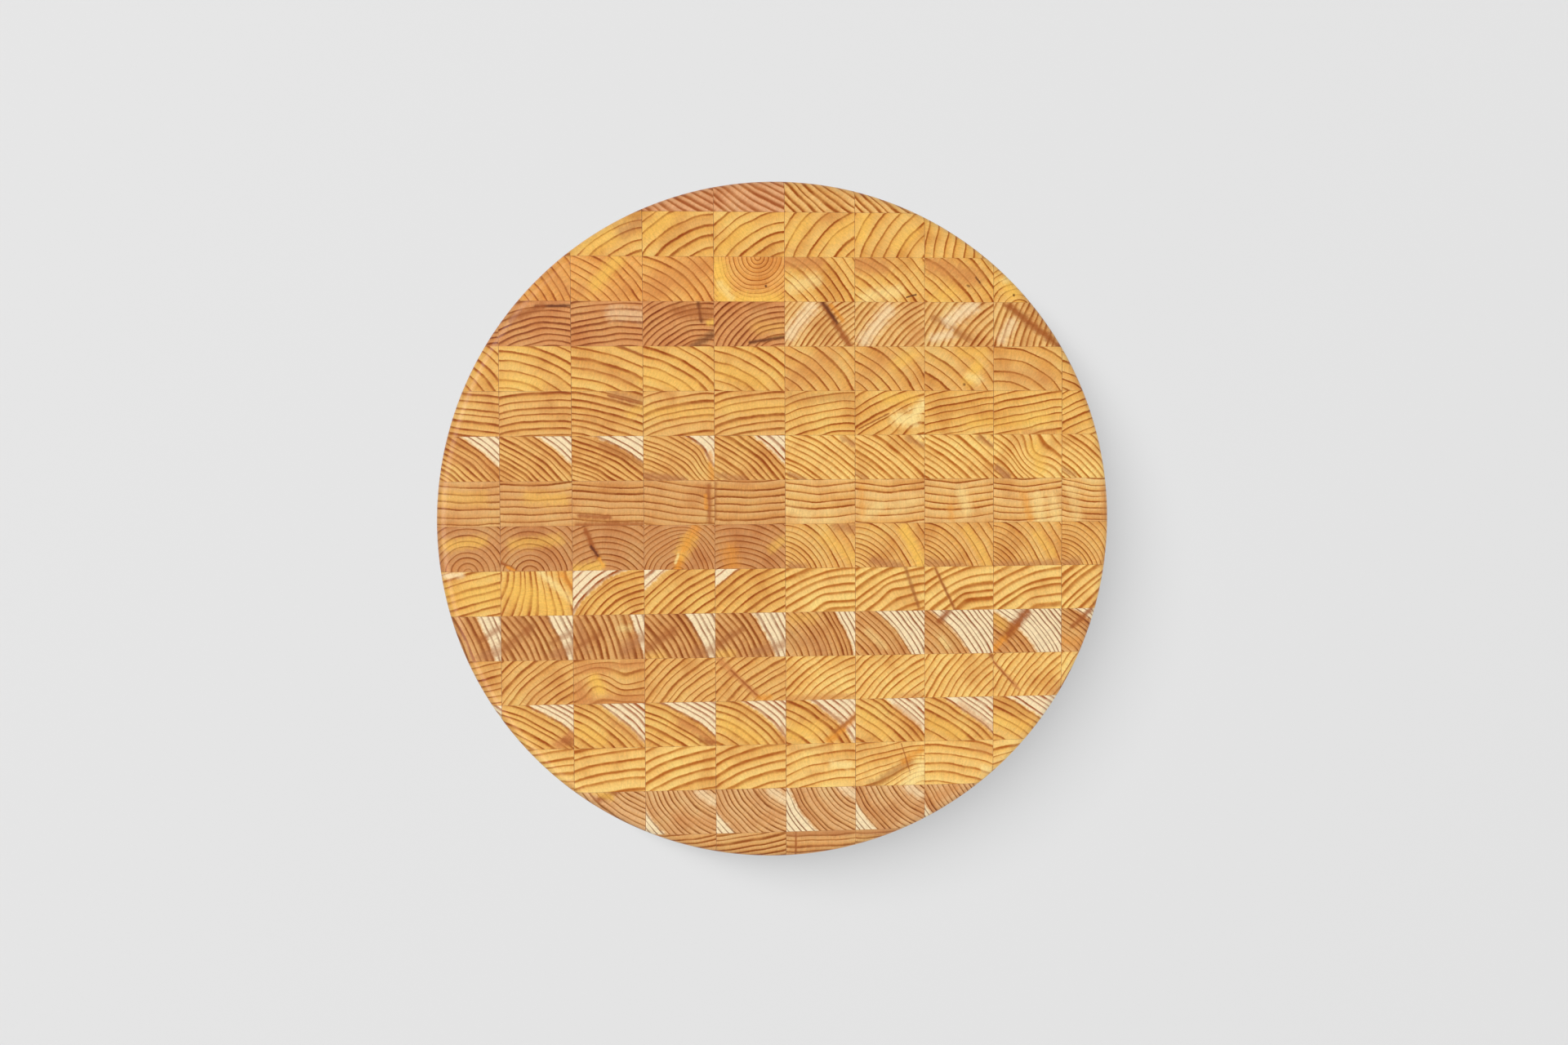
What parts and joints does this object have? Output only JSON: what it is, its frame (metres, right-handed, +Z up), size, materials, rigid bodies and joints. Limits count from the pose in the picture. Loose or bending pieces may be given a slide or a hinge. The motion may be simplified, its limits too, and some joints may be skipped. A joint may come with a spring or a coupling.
{
  "type": "round cutting board",
  "caption": "Round end-grain cutting board glued up from rows of golden larch blocks, with a rounded rim and two flat faces, one to cut on and one to rest on.",
  "frame": {"origin": "centre of the underside, on the surface that the board lies on", "axes": "+Z up through the thickness towards the cutting face, +Y along the glued strips, +X across the strips"},
  "size_m": [0.34, 0.34, 0.04],
  "materials": {
    "larch_golden": "golden larch end grain, sanded and oiled",
    "larch_brown": "browner larch end grain, sanded and oiled",
    "larch_pale": "pale larch end grain with sapwood, sanded and oiled",
    "glue": "dried wood glue, dark line"
  },
  "bodies": {
    "root": {"centre_strip_back_run_1": "larch_brown", "centre_strip_back_run_2": "larch_pale", "centre_strip_front_run_1": "larch_brown", "centre_strip_front_run_2": "larch_pale", "centre_strip_front_run_3": "larch_golden", "centre_strip_middle_run": "larch_golden", "left_glue_line_1": "glue", "left_glue_line_2": "glue", "left_glue_line_3": "glue", "left_glue_line_4": "glue", "left_strip_1_back_run_1": "larch_golden", "left_strip_1_back_run_2": "larch_brown", "left_strip_1_front_run_1": "larch_pale", "left_strip_1_front_run_2": "larch_golden", "left_strip_1_front_run_3": "larch_brown", "left_strip_1_middle_run": "larch_brown", "left_strip_2_back_run_1": "larch_brown", "left_strip_2_back_run_2": "larch_golden", "left_strip_2_front_run_1": "larch_golden", "left_strip_2_front_run_2": "larch_brown", "left_strip_2_middle_run": "larch_pale", "left_strip_3_back_run_1": "larch_pale", "left_strip_3_back_run_2": "larch_brown", "left_strip_3_front_run_1": "larch_brown", "left_strip_3_front_run_2": "larch_pale", "left_strip_3_middle_run": "larch_golden", "left_strip_4_back_run_1": "larch_golden", "left_strip_4_front_run_1": "larch_pale", "left_strip_4_front_run_2": "larch_golden", "left_strip_4_middle_run": "larch_brown", "right_glue_line_1": "glue", "right_glue_line_2": "glue", "right_glue_line_3": "glue", "right_glue_line_4": "glue", "right_glue_line_5": "glue", "right_strip_1_back_run_1": "larch_pale", "right_strip_1_back_run_2": "larch_golden", "right_strip_1_front_run_1": "larch_golden", "right_strip_1_front_run_2": "larch_brown", "right_strip_1_front_run_3": "larch_pale", "right_strip_1_middle_run": "larch_brown", "right_strip_2_back_run_1": "larch_golden", "right_strip_2_back_run_2": "larch_brown", "right_strip_2_front_run_1": "larch_brown", "right_strip_2_front_run_2": "larch_golden", "right_strip_2_front_run_3": "larch_brown", "right_strip_2_middle_run": "larch_pale", "right_strip_3_back_run_1": "larch_brown", "right_strip_3_back_run_2": "larch_pale", "right_strip_3_front_run_1": "larch_pale", "right_strip_3_front_run_2": "larch_brown", "right_strip_3_middle_run": "larch_golden", "right_strip_4_back_run_1": "larch_pale", "right_strip_4_back_run_2": "larch_golden", "right_strip_4_front_run_1": "larch_golden", "right_strip_4_front_run_2": "larch_pale", "right_strip_4_middle_run": "larch_brown", "right_strip_5_back_run_1": "larch_golden", "right_strip_5_front_run_1": "larch_brown", "right_strip_5_middle_run": "larch_pale"}
  },
  "joints": []
}
